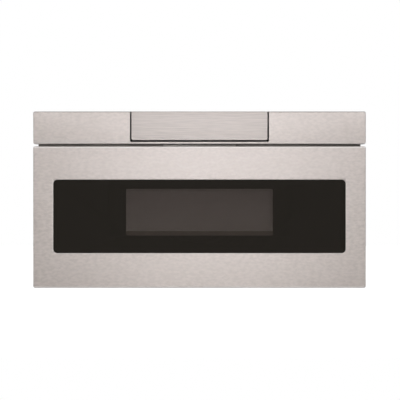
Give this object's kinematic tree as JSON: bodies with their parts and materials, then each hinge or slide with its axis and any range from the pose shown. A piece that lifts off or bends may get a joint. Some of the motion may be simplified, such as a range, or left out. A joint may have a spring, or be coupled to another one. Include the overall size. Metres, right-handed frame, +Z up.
{
  "type": "microwave drawer",
  "caption": "Built-in microwave drawer: steel-faced drawer with a black glass window on ball slides, motor rack drive and a tilting control flap in the strip above.",
  "frame": {"origin": "centre of the underside of the case's base plate", "axes": "+X to the right seen from the front, +Y into the cabinet, +Z up"},
  "size_m": [0.7588, 0.649, 0.4022],
  "materials": {
    "face_steel": "fine brushed grain, satin",
    "case_steel": "galvanised sheet",
    "frame_paint": "dark semi-matt enamel",
    "cavity_enamel": "light grey enamel",
    "black_glass": "polished black glass",
    "clear_glass": "clear glass",
    "tray_ceramic": "smooth glass-ceramic",
    "cover_ceramic": "matt ceramic",
    "screen_paint": "perforated sheet, dark enamel",
    "black_moulding": "fine moulded texture",
    "slide_steel": "bright zinc plate",
    "gear_plastic": "natural acetal",
    "motor_steel": "plated and painted steel",
    "fan_plastic": "moulded",
    "source_metal": "pressed and finned",
    "core_paint": "varnished laminations",
    "board_green": "solder mask",
    "bumper_rubber": "soft rubber"
  },
  "bodies": {
    "case": {"base_plate": "case_steel", "case_side_right": "case_steel", "case_side_left": "case_steel", "case_top_panel": "case_steel", "back_plate": "case_steel", "case_screws": "slide_steel", "front_frame": "frame_paint", "cavity_floor": "cavity_enamel", "cavity_roof": "cavity_enamel", "cavity_side_right": "cavity_enamel", "cavity_side_left": "cavity_enamel", "cavity_back": "cavity_enamel", "stirrer_cover": "cover_ceramic", "oven_lamp": "slide_steel", "stirrer_motor": "motor_steel", "waveguide": "case_steel", "magnetron": "source_metal", "fan_shroud": "fan_plastic", "fan_motor": "motor_steel", "power_transformer": "core_paint", "high_voltage_capacitor": "source_metal", "filter_board": "board_green", "cord_gland": "black_moulding", "slide_outer_right": "slide_steel", "slide_outer_left": "slide_steel", "rack_guide": "black_moulding", "drive_motor": "motor_steel", "interlock_switches": "black_moulding", "door_bumpers": "bumper_rubber", "control_fascia": "face_steel", "control_housing": "black_moulding", "tilt_motor": "motor_steel"},
    "drawer": {"drawer_face": "face_steel", "glass_panel": "black_glass", "glass_retainer": "black_moulding", "window_screen": "screen_paint", "inner_door_plate": "case_steel", "choke_frame": "case_steel", "choke_cover": "black_moulding", "inner_window": "clear_glass", "bin_frame": "cavity_enamel", "glass_tray": "tray_ceramic", "bin_side_right": "cavity_enamel", "bin_side_left": "cavity_enamel", "bin_rear": "cavity_enamel", "slide_inner_right": "slide_steel", "slide_inner_left": "slide_steel", "drive_rack": "gear_plastic"},
    "slide_middles": {"slide_middle_members": "slide_steel"},
    "outer_cages": {"outer_ball_cages": "slide_steel"},
    "inner_cages": {"inner_ball_cages": "slide_steel"},
    "rack_pinion": {"drive_pinion": "gear_plastic"},
    "control_module": {"control_wedge": "black_moulding", "key_panel": "black_glass", "control_board": "board_green", "control_flap": "face_steel"},
    "tilt_gear": {"tilt_pinion": "gear_plastic"},
    "stirrer_rotor": {"stirrer": "source_metal"},
    "fan_rotor": {"fan_blades": "fan_plastic"},
    "switch_plungers": {"interlock_plungers": "black_moulding"}
  },
  "joints": [
    {"name": "drawer_slide", "type": "slide", "parent": "case", "child": "drawer", "axis": [0, -1, 0], "range_m": [0, 0.381]},
    {"name": "slide_middle_travel", "type": "slide", "parent": "case", "child": "slide_middles", "axis": [0, -1, 0], "range_m": [0, 0.1905]},
    {"name": "outer_cage_travel", "type": "slide", "parent": "case", "child": "outer_cages", "axis": [0, -1, 0], "range_m": [0, 0.09525]},
    {"name": "inner_cage_travel", "type": "slide", "parent": "case", "child": "inner_cages", "axis": [0, -1, 0], "range_m": [0, 0.28575]},
    {"name": "drive_pinion_turn", "type": "hinge", "parent": "case", "child": "rack_pinion", "pos_m": [0.02388, -0.2445, 0], "axis": [0, 0, 1], "range_deg": [0, 1456]},
    {"name": "control_tilt", "type": "hinge", "parent": "case", "child": "control_module", "pos_m": [0, -0.3455, 0.3284], "axis": [1, 0, 0], "range_deg": [0, 45]},
    {"name": "tilt_pinion_turn", "type": "hinge", "parent": "case", "child": "tilt_gear", "pos_m": [0, -0.3305, 0.35438], "axis": [1, 0, 0], "range_deg": [-135, 0]},
    {"name": "stirrer_turn", "type": "hinge", "parent": "case", "child": "stirrer_rotor", "pos_m": [0, -0.092, 0], "axis": [0, 0, 1], "continuous": true},
    {"name": "fan_turn", "type": "hinge", "parent": "case", "child": "fan_rotor", "pos_m": [0.2, 0, 0.15], "axis": [0, 1, 0], "continuous": true},
    {"name": "plunger_press", "type": "slide", "parent": "case", "child": "switch_plungers", "axis": [0, 1, 0], "range_m": [0, 0.0012], "stiffness_N_per_m": 300}
  ],
  "couplings": [
    {"joint": "slide_middle_travel", "follows": "drawer_slide", "ratio": 0.5},
    {"joint": "outer_cage_travel", "follows": "drawer_slide", "ratio": 0.25},
    {"joint": "inner_cage_travel", "follows": "drawer_slide", "ratio": 0.75},
    {"joint": "drive_pinion_turn", "follows": "drawer_slide", "rad_per_m": 66.667},
    {"joint": "tilt_pinion_turn", "follows": "control_tilt", "ratio": -3}
  ]
}
